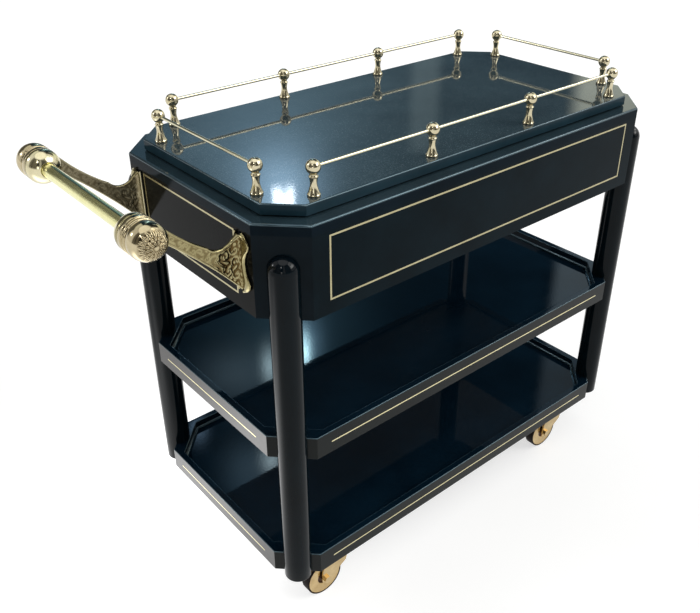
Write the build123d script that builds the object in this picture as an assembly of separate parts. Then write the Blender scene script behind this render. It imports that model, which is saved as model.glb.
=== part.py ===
from build123d import *
import math
import os

# A bread cart: a long eight-sided case with a slab top and a brass gallery,
# two lower trays between four round legs, a brass push handle at one end
# and four swivel casters.  Millimetres, +Z up, floor at zero.
# Left is the handle end, front is the side with negative y.

# Heights, stacked from the floor up
caster_height = 102.0
tray_height = 44.0
lower_bay = 220.0
upper_bay = 226.5
apron_height = 136.0
ledge_thickness = 18.0
shadow_gap = 2.5
slab_thickness = 17.0

# Outline of the case, with its corners cut off at 45 degrees
case_half_length = 450.0
case_half_width = 238.0
case_corner_cut = 60.8
board_thickness = 18.0
case_floor_thickness = 9.0
case_floor_recess = 3.5

# Slab top and the narrow dark step under it
slab_inset = 24.5
shadow_inset = 8.0
slab_edge_round = 2.0
ledge_edge_round = 3.0

# Legs
leg_diameter = 48.6
leg_inset = 31.6
leg_inset_side = 30.4
leg_top_below_ledge = 47.5
leg_groove_clearance = 0.15

# Trays
tray_inset = 3.7
rim_width = 13.0
well_depth = 17.0
well_corner_cut = 67.0

# Brass lines let into the wood
inlay_depth = 1.5
apron_line_width = 3.0
tray_line_width = 2.0
apron_line_end_gap = 30.7
end_panel_line_end_gap = 43.2
apron_line_top_gap = 6.0
apron_line_low_gap = 23.0
tray_line_long_gap = 8.3
tray_line_end_gap = 9.3

# Gallery posts and rods
post_foot_radius = 10.2
post_waist_radius = 5.3
post_collar_radius = 7.7
post_collar_height = 25.5
post_ball_radius = 11.0
post_ball_height = 43.9
post_sides = 12
rod_diameter = 5.4
side_post_inset = 18.5
side_post_from_corner = 28.06
end_post_inset = 16.5
end_post_from_corner = 29.76

# Push handle
bar_diameter = 22.0
bar_reach = 153.4
bar_above_ledge = 24.5
bar_fit_clearance = 0.05
knob_radius = 27.0
cup_start_radius = 13.0
cup_centre_past_arm = 4.0
arm_beside_line = 11.0
arm_thickness = 6.0
collar_length = 8.0
groove_radius = 24.8
groove_length = 4.0
ring_radius = 26.5
dome_centre_past_arm = 33.0
flange_thickness = 4.0
flange_sweep_radius = 14.0
arm_upper_angle = 23.0
arm_lower_angle = 35.0
arm_seat_depth = 0.5
arm_upper_bow = 3.9
arm_lower_bow = 4.5
arm_shoulder_reach = 54.0
arm_shoulder_drop = 30.0
arm_hollow_reach = 34.0
arm_hollow_drop = 40.0
arm_root_reach = 13.0
arm_root_drop = 31.0
flange_top_drop = 22.0
flange_low_drop = 119.0
flange_top_width = 19.0
flange_top_slope = 7.0
flange_lobe_width = 28.0
flange_waist_width = 15.0
flange_low_width = 18.0
flange_low_slope = 4.0

# Casters, measured from the underside of the bottom tray
caster_end_inset = 125.3
caster_side_inset = 41.3
plate_size = 60.0
plate_thickness = 3.0
plate_corner_cut = 6.0
swivel_play = 0.4
crown_front = 21.0
crown_back = 20.0
crown_nose_half_width = 8.0
crown_nose_length = 5.0
crown_thickness = 3.0
kingpin_diameter = 12.0
kingpin_nut_width = 19.0
kingpin_nut_height = 4.0
running_clearance = 0.05
fork_inner_half_width = 12.5
fork_leg_thickness = 3.0
fork_boss_radius = 9.5
fork_brow_back = 3.0
fork_brow_drop = 16.6
fork_shin_ahead = 47.0
fork_shin_rise = 18.0
fork_heel_behind = 7.0
fork_heel_rise = 23.0
wheel_trail = 35.0
wheel_radius = 38.5
tyre_thickness = 2.6
tyre_width = 20.0
tyre_seat_clearance = 0.05
hub_radius = 9.0
hub_side_gap = 0.4
web_half_width = 9.0
axle_diameter = 8.0
axle_nut_width = 13.0
axle_nut_thickness = 5.0
screw_spread = 22.5
screw_head_width = 7.0
screw_head_height = 2.4

# Heights that follow from the stack
bottom_tray_z = caster_height
middle_tray_z = bottom_tray_z + tray_height + lower_bay
apron_z = middle_tray_z + tray_height + upper_bay
ledge_z = apron_z + apron_height
ledge_top_z = ledge_z + ledge_thickness
slab_z = ledge_top_z + shadow_gap
top_z = slab_z + slab_thickness
bar_z = ledge_top_z + bar_above_ledge
bar_x = -(case_half_length + bar_reach)
rod_z = top_z + post_ball_height

# Places that follow from the outline
leg_radius = leg_diameter / 2
leg_x = case_half_length - leg_inset
leg_y = case_half_width - leg_inset_side
leg_top_z = ledge_top_z - leg_top_below_ledge
rod_radius = rod_diameter / 2
bar_radius = bar_diameter / 2
tray_half_length = case_half_length - tray_inset
tray_half_width = case_half_width - tray_inset
tray_corner_cut = case_corner_cut - tray_inset * (2 - math.sqrt(2))
well_half_length = tray_half_length - rim_width
well_half_width = tray_half_width - rim_width
rail_half_length = well_half_length - well_corner_cut
rail_half_width = well_half_width - well_corner_cut
tray_floor_thickness = tray_height - well_depth
tray_line_half_length = rail_half_length - tray_line_long_gap
tray_line_half_width = rail_half_width - tray_line_end_gap
apron_half_length = case_half_length - case_corner_cut
end_panel_half_width = case_half_width - case_corner_cut
apron_line_half_length = apron_half_length - apron_line_end_gap
end_line_half_length = end_panel_half_width - end_panel_line_end_gap
slab_half_length = case_half_length - slab_inset
slab_half_width = case_half_width - slab_inset
slab_corner_cut = case_corner_cut - slab_inset * (2 - math.sqrt(2))
side_post_y = slab_half_width - side_post_inset
side_post_outer_x = slab_half_length - slab_corner_cut - side_post_from_corner
side_post_inner_x = side_post_outer_x / 3
end_post_x = slab_half_length - end_post_inset
end_post_y = slab_half_width - slab_corner_cut - end_post_from_corner
arm_inner_y = end_line_half_length + arm_beside_line
cup_centre_y = arm_inner_y + cup_centre_past_arm
dome_centre_y = arm_inner_y + dome_centre_past_arm
caster_x = tray_half_length - caster_end_inset
caster_y = tray_half_width - caster_side_inset
crown_top = plate_thickness + swivel_play
crown_low = crown_top + crown_thickness
fork_half_width = fork_inner_half_width + fork_leg_thickness
hub_depth = caster_height - wheel_radius

# The whole cart is moved along x so that its own box is centred on zero
case_x = (bar_reach + knob_radius) / 2

corners = {
    "left_front": (-1, -1),
    "left_back": (-1, 1),
    "right_front": (1, -1),
    "right_back": (1, 1),
}
sides = {"front": -1, "back": 1}
ends = {"left": -1, "right": 1}


# Helpers
def save(node, pieces):
    solids = []
    for piece in pieces:
        solids.extend((Pos(case_x, 0, 0) * piece).solids())
    if len(solids) == 1:
        shape = solids[0]
    else:
        shape = Compound(children=solids)
    export_step(shape, os.path.join("parts", node + ".step"))


def octagon_points(half_length, half_width, cut):
    x = half_length
    y = half_width
    return [
        (-x, -y + cut),
        (-x + cut, -y),
        (x - cut, -y),
        (x, -y + cut),
        (x, y - cut),
        (x - cut, y),
        (-x + cut, y),
        (-x, y - cut),
    ]


def inset_octagon(inset):
    cut = case_corner_cut - inset * (2 - math.sqrt(2))
    return octagon_points(case_half_length - inset, case_half_width - inset, cut)


def board(points, low, high):
    # A flat board with the outline given in plan, from one height to another
    outline = Polygon(*points, align=None)
    return extrude(Pos(0, 0, low) * outline, amount=high - low, dir=(0, 0, 1))


def block(x_low, x_high, y_low, y_high, z_low, z_high):
    middle = Pos((x_low + x_high) / 2, (y_low + y_high) / 2, (z_low + z_high) / 2)
    size = (abs(x_high - x_low), abs(y_high - y_low), z_high - z_low)
    return middle * Box(*size)


def upright(radius, low, high):
    return Pos(0, 0, (low + high) / 2) * Cylinder(radius, high - low)


def crosswise(radius, y_low, y_high):
    # A cylinder lying along y
    return Pos(0, (y_low + y_high) / 2, 0) * Rot(90, 0, 0) * Cylinder(radius, abs(y_high - y_low))


def turned(edges):
    # Edges are drawn with x as the radius and y as the height, then turned about z
    profile = Plane.XZ * make_face(edges)
    return revolve(profile, Axis.Z, 360)


def turned_about_y(edges, direction):
    # The same, but lying down, with its height running towards y times direction
    shape = turned(edges)
    return Rot(-90 * direction, 0, 0) * shape


def round_top_edges(shape, radius):
    top = shape.faces().sort_by(Axis.Z)[-1]
    return fillet(top.outer_wire().edges(), radius)


# The case under the top
def slab():
    shape = board(inset_octagon(slab_inset), slab_z, top_z)
    return round_top_edges(shape, slab_edge_round)


def shadow_step():
    return board(inset_octagon(slab_inset + shadow_inset), ledge_top_z, slab_z)


def ledge():
    shape = board(inset_octagon(0), ledge_z, ledge_top_z)
    return round_top_edges(shape, ledge_edge_round)


def line_frame_front(side, half_length, z_low, z_high, width):
    # Four mitred strips of a brass line on a long side, flush with the wood
    outer = case_half_width
    pieces = []
    ring = [
        (-half_length, z_low),
        (half_length, z_low),
        (half_length, z_high),
        (-half_length, z_high),
    ]
    inner = [
        (-half_length + width, z_low + width),
        (half_length - width, z_low + width),
        (half_length - width, z_high - width),
        (-half_length + width, z_high - width),
    ]
    for index in range(4):
        after = (index + 1) % 4
        strip = Polygon(ring[index], ring[after], inner[after], inner[index], align=None)
        flat = Plane.XZ * strip
        solid = extrude(flat, amount=inlay_depth, dir=(0, 1, 0))
        start = outer - inlay_depth if side > 0 else -outer
        pieces.append(Pos(0, start, 0) * solid)
    return pieces


def line_frame_end(end, half_length, z_low, z_high, width):
    # The same frame turned onto an end panel
    turned_frame = []
    shift = case_half_length - case_half_width
    for piece in line_frame_front(-1, half_length, z_low, z_high, width):
        turned_piece = Rot(0, 0, -90 if end < 0 else 90) * piece
        turned_frame.append(Pos(end * shift, 0, 0) * turned_piece)
    return turned_frame


def apron_lines():
    z_high = ledge_z - apron_line_top_gap
    z_low = apron_z + apron_line_low_gap
    lines = {}
    for name, side in sides.items():
        lines[name] = line_frame_front(side, apron_line_half_length, z_low, z_high, apron_line_width)
    for name, end in ends.items():
        lines[name] = line_frame_end(end, end_line_half_length, z_low, z_high, apron_line_width)
    return lines


def cut_all(shape, tools):
    for tool in tools:
        shape = shape - tool
    return shape


def long_apron(side, lines):
    half = apron_half_length
    outer = side * case_half_width
    inner = side * (case_half_width - board_thickness)
    shape = block(-half, half, min(outer, inner), max(outer, inner), apron_z, ledge_z)
    return cut_all(shape, lines)


def end_panel(end, lines):
    half = end_panel_half_width
    outer = end * case_half_length
    inner = end * (case_half_length - board_thickness)
    shape = block(min(outer, inner), max(outer, inner), -half, half, apron_z, ledge_z)
    return cut_all(shape, lines)


def domed_post(radius, low, dome_z):
    # A round post with a domed top that springs from it at the given height
    return upright(radius, low, dome_z) + Pos(0, 0, dome_z) * Sphere(radius)


def leg_groove(low):
    # The round groove that a leg stands in, with its domed upper end
    return domed_post(leg_radius + leg_groove_clearance, low, leg_top_z - leg_radius)


def corner_block(sign_x, sign_y):
    # A three-sided block that fills the cut-off corner between apron and end panel
    x_in = sign_x * apron_half_length
    y_in = sign_y * end_panel_half_width
    points = [
        (x_in, y_in),
        (sign_x * case_half_length, y_in),
        (x_in, sign_y * case_half_width),
    ]
    shape = board(points, apron_z, ledge_z)
    return shape - Pos(sign_x * leg_x, sign_y * leg_y, 0) * leg_groove(apron_z - 1)


def case_floor():
    # Closes the case from below between the boards and round the corner blocks
    x = case_half_length - board_thickness
    y = case_half_width - board_thickness
    x_in = apron_half_length
    y_in = end_panel_half_width
    points = [
        (-x, -y_in),
        (-x_in, -y_in),
        (-x_in, -y),
        (x_in, -y),
        (x_in, -y_in),
        (x, -y_in),
        (x, y_in),
        (x_in, y_in),
        (x_in, y),
        (-x_in, y),
        (-x_in, y_in),
        (-x, y_in),
    ]
    low = apron_z + case_floor_recess
    return board(points, low, low + case_floor_thickness)


# Legs
def leg(sign_x, sign_y):
    shape = domed_post(leg_radius, bottom_tray_z, leg_top_z - leg_radius)
    return Pos(sign_x * leg_x, sign_y * leg_y, 0) * shape


# Trays
def tray_line_long(side, z):
    outer = side * tray_half_width
    inner = side * (tray_half_width - inlay_depth)
    half = tray_line_width / 2
    return block(
        -tray_line_half_length,
        tray_line_half_length,
        min(outer, inner),
        max(outer, inner),
        z - half,
        z + half,
    )


def tray_line_end(end, z):
    outer = end * tray_half_length
    inner = end * (tray_half_length - inlay_depth)
    half = tray_line_width / 2
    return block(
        min(outer, inner),
        max(outer, inner),
        -tray_line_half_width,
        tray_line_half_width,
        z - half,
        z + half,
    )


def tray_long_rail(side, base):
    outer = side * tray_half_width
    inner = side * well_half_width
    rail = block(
        -rail_half_length,
        rail_half_length,
        min(outer, inner),
        max(outer, inner),
        base,
        base + tray_height,
    )
    return rail - tray_line_long(side, base + tray_height / 2)


def tray_end_rail(end, base):
    outer = end * tray_half_length
    inner = end * well_half_length
    rail = block(
        min(outer, inner),
        max(outer, inner),
        -rail_half_width,
        rail_half_width,
        base,
        base + tray_height,
    )
    return rail - tray_line_end(end, base + tray_height / 2)


def tray_corner(sign_x, sign_y, base):
    # A six-sided piece between two rails, grooved right through for the leg
    points = [
        (tray_half_length, tray_half_width - tray_corner_cut),
        (tray_half_length - tray_corner_cut, tray_half_width),
        (rail_half_length, tray_half_width),
        (rail_half_length, well_half_width),
        (well_half_length, rail_half_width),
        (tray_half_length, rail_half_width),
    ]
    signed = []
    for x, y in points:
        signed.append((sign_x * x, sign_y * y))
    shape = board(signed, base, base + tray_height)
    groove = upright(leg_radius + leg_groove_clearance, base - 1, base + tray_height + 1)
    return shape - Pos(sign_x * leg_x, sign_y * leg_y, 0) * groove


def tray_floor(base):
    points = octagon_points(well_half_length, well_half_width, well_corner_cut)
    return board(points, base, base + tray_floor_thickness)


# Gallery
def post_ring(radius, height):
    # One ring of a post, turned so that flats face along x and along y
    ring = RegularPolygon(radius, post_sides, rotation=180 / post_sides)
    return Pos(0, 0, height) * ring


def gallery_post():
    # A baluster of flared foot, slim waist, collar and ball, with a flat band
    # round the ball that the rods butt against
    ball = post_ball_radius
    middle = post_ball_height
    band = rod_radius + 0.1
    collar = post_collar_height
    neck = 0.7 * collar + 0.3 * (middle - 0.6 * ball)
    rings = [
        post_ring(post_foot_radius, 0),
        post_ring(post_foot_radius - 0.8, 0.1 * collar),
        post_ring(post_waist_radius + 1.8, 0.3 * collar),
        post_ring(post_waist_radius, 0.63 * collar),
        post_ring(post_waist_radius, 0.88 * collar),
        post_ring(post_collar_radius, collar),
        post_ring(post_waist_radius + 0.5, neck),
        post_ring(0.8 * ball, middle - 0.6 * ball),
        post_ring(ball, middle - band),
        post_ring(ball, middle + band),
        post_ring(0.74 * ball, middle + 0.67 * ball),
        post_ring(0.15 * ball, middle + 0.99 * ball),
    ]
    return Pos(0, 0, top_z) * loft(rings, ruled=True)


def gallery_posts():
    post = gallery_post()
    posts = []
    for side in sides.values():
        for x in (-side_post_outer_x, -side_post_inner_x, side_post_inner_x, side_post_outer_x):
            posts.append(Pos(x, side * side_post_y, 0) * post)
    for end in ends.values():
        for side in sides.values():
            posts.append(Pos(end * end_post_x, side * end_post_y, 0) * post)
    return posts


def rod(length):
    # Standing on its end, with the same sides as the posts
    outline = RegularPolygon(rod_radius, post_sides, rotation=180 / post_sides)
    return Pos(0, 0, -length / 2) * extrude(outline, amount=length)


def gallery_rods():
    # Three rods between the four posts of a long side, one rod across each end
    flat = post_ball_radius * math.cos(math.pi / post_sides)
    spans = [
        (-side_post_outer_x, -side_post_inner_x),
        (-side_post_inner_x, side_post_inner_x),
        (side_post_inner_x, side_post_outer_x),
    ]
    rods = []
    for side in sides.values():
        for start, end in spans:
            lying = Rot(0, 90, 0) * rod(end - start - 2 * flat)
            rods.append(Pos((start + end) / 2, side * side_post_y, rod_z) * lying)
    for end in ends.values():
        lying = Rot(90, 0, 0) * rod(2 * (end_post_y - flat))
        rods.append(Pos(end * end_post_x, 0, rod_z) * lying)
    return rods


# Push handle
def handle_bar():
    end = arm_inner_y + arm_thickness
    return Pos(bar_x, 0, bar_z) * crosswise(bar_radius, -end, end)


def handle_cup(side):
    # The smooth cup on the inner side of each arm, part of a ball bored for the bar
    bore = bar_radius + bar_fit_clearance
    ball = math.hypot(knob_radius, cup_centre_y - arm_inner_y)
    start = cup_centre_y - math.sqrt(ball ** 2 - cup_start_radius ** 2)
    middle = math.radians(215)
    swell = ThreePointArc(
        (cup_start_radius, start),
        (-ball * math.cos(middle), cup_centre_y + ball * math.sin(middle)),
        (knob_radius, arm_inner_y),
    )
    edges = [
        Line((bore, start), (cup_start_radius, start)),
        swell,
        Line((knob_radius, arm_inner_y), (bore, arm_inner_y)),
        Line((bore, arm_inner_y), (bore, start)),
    ]
    return Pos(bar_x, 0, bar_z) * turned_about_y(edges, side)


def handle_finial(side):
    # Collar, groove, ring and dome, seated on the outer face of the arm
    start = arm_inner_y + arm_thickness
    collar_end = start + collar_length
    groove_end = collar_end + groove_length
    ring_end = dome_centre_y - math.sqrt(knob_radius ** 2 - ring_radius ** 2)
    pole = dome_centre_y + knob_radius
    diagonal = knob_radius * math.sqrt(0.5)
    edges = [
        Line((0, start), (knob_radius, start)),
        Line((knob_radius, start), (knob_radius, collar_end)),
        Line((knob_radius, collar_end), (groove_radius, collar_end)),
        Line((groove_radius, collar_end), (groove_radius, groove_end)),
        Line((groove_radius, groove_end), (ring_radius, groove_end)),
        Line((ring_radius, groove_end), (ring_radius, ring_end)),
        ThreePointArc(
            (ring_radius, ring_end), (diagonal, dome_centre_y + diagonal), (0, pole)
        ),
        Line((0, pole), (0, start)),
    ]
    return Pos(bar_x, 0, bar_z) * turned_about_y(edges, side)


def point_on_eye(angle):
    # A point just inside the rim of the eye, on the side of the end panel
    radius = knob_radius - arm_seat_depth
    turn = math.radians(angle)
    return (-bar_reach + radius * math.cos(turn), bar_above_ledge + radius * math.sin(turn))


def arm_outline():
    # Drawn outwards from the end panel and down from the top of the ledge
    upper = point_on_eye(arm_upper_angle)
    lower = point_on_eye(-arm_lower_angle)
    inside = (-bar_reach + knob_radius / 2, bar_above_ledge)
    shoulder = (-arm_shoulder_reach, -arm_shoulder_drop)
    hollow = (-arm_hollow_reach, -arm_hollow_drop)
    root = (-arm_root_reach, -arm_root_drop)
    seat_top = (0, -flange_top_drop)
    seat_low = (0, -flange_low_drop)
    return [
        SagittaArc(upper, shoulder, -arm_upper_bow),
        ThreePointArc(shoulder, hollow, root),
        Line(root, seat_top),
        Line(seat_top, seat_low),
        SagittaArc(seat_low, lower, -arm_lower_bow),
        Line(lower, inside),
        Line(inside, upper),
    ]


def flange_outline():
    # Drawn sideways from the inner face of the arm and down from the ledge top:
    # two round lobes with a waist between them
    height = flange_low_drop - flange_top_drop
    neck_width = flange_waist_width + 0.25 * (flange_lobe_width - flange_waist_width)
    seat_top = (0, -flange_top_drop)
    seat_low = (0, -flange_low_drop)
    lobe_top = (flange_top_width, -flange_top_drop - flange_top_slope)
    lobe_side = (flange_lobe_width, -flange_top_drop - 0.18 * height)
    neck_top = (neck_width, -flange_top_drop - 0.29 * height)
    waist = (flange_waist_width, -flange_top_drop - 0.49 * height)
    neck_low = (neck_width, -flange_top_drop - 0.69 * height)
    foot_side = (0.95 * flange_lobe_width, -flange_top_drop - 0.81 * height)
    foot_low = (flange_low_width, -flange_low_drop + flange_low_slope)
    return [
        Line(seat_top, lobe_top),
        ThreePointArc(lobe_top, lobe_side, neck_top),
        ThreePointArc(neck_top, waist, neck_low),
        ThreePointArc(neck_low, foot_side, foot_low),
        Line(foot_low, seat_low),
        Line(seat_low, seat_top),
    ]


def flange_sweep(arm_face, flange_face):
    # The hollow curve between arm and flange, kept inside the outlines of both
    radius = flange_sweep_radius
    start = (-flange_thickness - radius, arm_thickness)
    middle = (-flange_thickness - radius * (1 - math.sqrt(0.5)), arm_thickness + radius * (1 - math.sqrt(0.5)))
    end = (-flange_thickness, arm_thickness + radius)
    edges = [
        ThreePointArc(start, middle, end),
        Line(end, (0, end[1])),
        Line((0, end[1]), (0, 0)),
        Line((0, 0), (start[0], 0)),
        Line((start[0], 0), start),
    ]
    hollow = Pos(0, 0, -flange_low_drop) * extrude(make_face(edges), amount=flange_low_drop)
    within_arm = extrude(arm_face, amount=arm_thickness + radius, dir=(0, 1, 0))
    within_flange = extrude(flange_face, amount=flange_thickness + radius, dir=(-1, 0, 0))
    return hollow & within_arm & within_flange


def handle_bracket(side):
    # Round eye, curved arm and scalloped flange cast in one piece
    outer_y = arm_inner_y + arm_thickness
    arm_face = Plane.XZ * make_face(arm_outline())
    flange_face = Plane.YZ * make_face(flange_outline())
    arm = extrude(arm_face, amount=arm_thickness, dir=(0, 1, 0))
    flange = extrude(flange_face, amount=flange_thickness, dir=(-1, 0, 0))
    casting = arm + flange + flange_sweep(arm_face, flange_face)
    if side < 0:
        casting = mirror(casting, about=Plane.XZ)
    casting = Pos(-case_half_length, side * arm_inner_y, ledge_top_z) * casting
    eye = Pos(bar_x, 0, bar_z) * crosswise(knob_radius, side * arm_inner_y, side * outer_y)
    shape = casting + eye
    bar_hole = crosswise(bar_radius + bar_fit_clearance, 0, side * (outer_y + 1))
    return shape - Pos(bar_x, 0, bar_z) * bar_hole


# Casters
def caster_place(sign_x, sign_y):
    return Pos(sign_x * caster_x, sign_y * caster_y, caster_height)


def six_sided(width, height):
    return extrude(RegularPolygon(width / 2, 6, major_radius=False), amount=height)


def caster_plate():
    # Top plate with its screw heads, kingpin and nut, all fixed to the tray
    half = plate_size / 2
    points = octagon_points(half, half, plate_corner_cut)
    nut_top = -(crown_low + swivel_play)
    nut_low = nut_top - kingpin_nut_height
    nut = Pos(0, 0, nut_low) * six_sided(kingpin_nut_width, kingpin_nut_height)
    pin = upright(kingpin_diameter / 2, nut_top, -plate_thickness)
    shape = board(points, -plate_thickness, 0) + pin + nut
    head = six_sided(screw_head_width, screw_head_height)
    head_low = -plate_thickness - screw_head_height
    for x in (-screw_spread, screw_spread):
        for y in (-screw_spread, screw_spread):
            shape = shape + Pos(x, y, head_low) * head
    return shape


def axle():
    # Riveted through both legs, with a six-sided head and nut outside them
    nut = six_sided(axle_nut_width, axle_nut_thickness)
    near_nut = Pos(0, -fork_half_width, 0) * Rot(90, 0, 0) * nut
    far_head = Pos(0, fork_half_width, 0) * Rot(-90, 0, 0) * nut
    shank = crosswise(axle_diameter / 2, -fork_inner_half_width, fork_inner_half_width)
    return shank + near_nut + far_head


def fork_leg():
    # One swept leg in outline, from the crown down to the round boss at the axle
    boss_ahead = 0.63 * fork_boss_radius
    boss_below = 0.78 * fork_boss_radius
    boss_behind = 0.99 * fork_boss_radius
    boss_above = 0.15 * fork_boss_radius
    sweep = [
        (crown_front - crown_nose_length, -crown_top),
        (crown_front - fork_brow_back, -crown_top - fork_brow_drop),
        (-wheel_trail + fork_shin_ahead, -hub_depth + fork_shin_rise),
        (-wheel_trail + boss_ahead, -hub_depth - boss_below),
        (-wheel_trail - boss_behind, -hub_depth + boss_above),
        (-wheel_trail - fork_heel_behind, -hub_depth + fork_heel_rise),
        (-crown_back, -crown_top),
    ]
    boss = Pos(-wheel_trail, -hub_depth) * Circle(fork_boss_radius)
    face = Plane.XZ * (Polygon(*sweep, align=None) + boss)
    return extrude(face, amount=fork_leg_thickness, dir=(0, 1, 0))


def fork():
    # Crown plate with two swept legs bent down from it and the axle through them
    nose = crown_nose_half_width
    crown_points = [
        (-crown_back, -fork_half_width),
        (crown_front - crown_nose_length, -fork_half_width),
        (crown_front, -nose),
        (crown_front, nose),
        (crown_front - crown_nose_length, fork_half_width),
        (-crown_back, fork_half_width),
    ]
    crown = board(crown_points, -crown_low, -crown_top)
    near_leg = Pos(0, -fork_half_width, 0) * fork_leg()
    far_leg = Pos(0, fork_inner_half_width, 0) * fork_leg()
    bore = upright(kingpin_diameter / 2 + running_clearance, -crown_low - 1, 0)
    frame = crown + near_leg + far_leg - bore
    return frame + Pos(-wheel_trail, 0, -hub_depth) * axle()


def wheel():
    # Brass disc wheel with a hub boss on each side
    half_hub = fork_inner_half_width - hub_side_gap
    rim = wheel_radius - tyre_thickness
    disc = crosswise(rim, -web_half_width, web_half_width)
    hub = crosswise(hub_radius, -half_hub, half_hub)
    bore = crosswise(axle_diameter / 2 + running_clearance, -half_hub - 1, half_hub + 1)
    return Pos(-wheel_trail, 0, -hub_depth) * (disc + hub - bore)


def tyre():
    # Solid rubber tyre
    half = tyre_width / 2
    inner = wheel_radius - tyre_thickness + tyre_seat_clearance
    band = crosswise(wheel_radius, -half, half) - crosswise(inner, -half - 1, half + 1)
    return Pos(-wheel_trail, 0, -hub_depth) * band


# Everything is written out, one file for each named piece
def build_case():
    lines = apron_lines()
    save("top_slab", [slab()])
    save("shadow_step", [shadow_step()])
    save("ledge_board", [ledge()])
    save("front_apron", [long_apron(-1, lines["front"])])
    save("back_apron", [long_apron(1, lines["back"])])
    save("left_end_panel", [end_panel(-1, lines["left"])])
    save("right_end_panel", [end_panel(1, lines["right"])])
    save("case_floor", [case_floor()])
    strips = []
    for frame in lines.values():
        strips.extend(frame)
    save("apron_inlays", strips)
    for name, (sign_x, sign_y) in corners.items():
        save("corner_block_" + name, [corner_block(sign_x, sign_y)])


def build_legs():
    for name, (sign_x, sign_y) in corners.items():
        save("leg_" + name, [leg(sign_x, sign_y)])


def build_trays():
    strips = []
    for tray, base in (("middle_tray", middle_tray_z), ("bottom_tray", bottom_tray_z)):
        save(tray + "_floor", [tray_floor(base)])
        for name, side in sides.items():
            save(tray + "_" + name + "_rail", [tray_long_rail(side, base)])
            strips.append(tray_line_long(side, base + tray_height / 2))
        for name, end in ends.items():
            save(tray + "_" + name + "_rail", [tray_end_rail(end, base)])
            strips.append(tray_line_end(end, base + tray_height / 2))
        pieces = []
        for sign_x, sign_y in corners.values():
            pieces.append(tray_corner(sign_x, sign_y, base))
        save(tray + "_corners", pieces)
    save("tray_inlays", strips)


def build_gallery():
    save("gallery_posts", gallery_posts())
    save("gallery_rods", gallery_rods())


def build_handle():
    save("handle_bar", [handle_bar()])
    for name, side in sides.items():
        save("handle_bracket_" + name, [handle_bracket(side)])
        save("handle_cup_" + name, [handle_cup(side)])
        save("handle_finial_" + name, [handle_finial(side)])


def build_casters():
    plates = []
    for name, (sign_x, sign_y) in corners.items():
        place = caster_place(sign_x, sign_y)
        plates.append(place * caster_plate())
        save("caster_fork_" + name, [place * fork()])
        save("caster_wheel_" + name, [place * wheel()])
        save("caster_tyre_" + name, [place * tyre()])
    save("caster_plates", plates)


os.makedirs("parts", exist_ok=True)
build_case()
build_legs()
build_trays()
build_gallery()
build_handle()
build_casters()
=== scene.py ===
import math

import bmesh
import bpy
import numpy as np
from mathutils import Matrix, Vector

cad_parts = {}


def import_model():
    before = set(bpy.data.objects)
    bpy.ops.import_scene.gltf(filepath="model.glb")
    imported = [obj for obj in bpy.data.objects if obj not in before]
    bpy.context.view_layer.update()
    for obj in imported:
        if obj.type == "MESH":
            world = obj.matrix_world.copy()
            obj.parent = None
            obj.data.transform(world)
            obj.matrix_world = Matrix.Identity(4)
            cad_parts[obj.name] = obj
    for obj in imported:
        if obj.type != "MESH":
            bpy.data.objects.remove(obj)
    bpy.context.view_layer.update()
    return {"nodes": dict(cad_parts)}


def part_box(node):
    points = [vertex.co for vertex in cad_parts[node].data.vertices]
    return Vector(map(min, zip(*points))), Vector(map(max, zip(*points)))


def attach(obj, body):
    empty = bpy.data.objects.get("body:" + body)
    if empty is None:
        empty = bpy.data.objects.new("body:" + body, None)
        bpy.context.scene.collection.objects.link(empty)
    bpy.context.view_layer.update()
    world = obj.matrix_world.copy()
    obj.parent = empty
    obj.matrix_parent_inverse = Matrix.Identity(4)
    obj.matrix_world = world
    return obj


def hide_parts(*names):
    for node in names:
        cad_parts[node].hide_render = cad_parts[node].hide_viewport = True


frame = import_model()
nodes = frame["nodes"]

MM = 0.001
CORNERS = ("left_front", "left_back", "right_front", "right_back")
SIDES = {"front": -1, "back": 1}
WHITE = (1.0, 1.0, 1.0)

slab_low, slab_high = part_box("top_slab")
ledge_low, ledge_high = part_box("ledge_board")
bar_low, bar_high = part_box("handle_bar")
case_x = (slab_low.x + slab_high.x) / 2
top_z = slab_high.z
bar_axis = (bar_low + bar_high) / 2


# -------- materials
# Numbers of a Mix node's sockets when it mixes colours
MIX_SHARE, MIX_FIRST, MIX_SECOND, MIX_RESULT = 0, 6, 7, 2
DUST = (0.35, 0.40, 0.45)
# Dark brass colour for patina in carved grounds, and for painted shade in the brackets' hollows and
# inner faces
TARNISH_AND_SHADE = (0.10, 0.065, 0.022)


def new_material(name):
    material = bpy.data.materials.new(name)
    material.use_nodes = True
    tree = material.node_tree
    tree.nodes.clear()
    output = tree.nodes.new("ShaderNodeOutputMaterial")
    shader = tree.nodes.new("ShaderNodeBsdfPrincipled")
    tree.links.new(shader.outputs["BSDF"], output.inputs["Surface"])
    return material, tree, shader


def add_node(tree, kind, **values):
    node = tree.nodes.new(kind)
    for key, value in values.items():
        setattr(node, key, value)
    return node


def place_noise(tree, scale, detail, rough, stretch=(1, 1, 1)):
    place = add_node(tree, "ShaderNodeTexCoord")
    mapping = add_node(tree, "ShaderNodeMapping")
    mapping.inputs["Scale"].default_value = stretch
    noise = add_node(tree, "ShaderNodeTexNoise")
    noise.inputs["Scale"].default_value = scale
    noise.inputs["Detail"].default_value = detail
    noise.inputs["Roughness"].default_value = rough
    tree.links.new(place.outputs["Object"], mapping.inputs["Vector"])
    tree.links.new(mapping.outputs["Vector"], noise.inputs["Vector"])
    return noise


def spread(tree, source, low, high, from_low=0.3, from_high=0.7):
    """Maps a texture value onto a range of numbers."""
    node = add_node(tree, "ShaderNodeMapRange")
    node.inputs["From Min"].default_value = from_low
    node.inputs["From Max"].default_value = from_high
    node.inputs["To Min"].default_value = low
    node.inputs["To Max"].default_value = high
    tree.links.new(source, node.inputs["Value"])
    return node.outputs["Result"]


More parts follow.
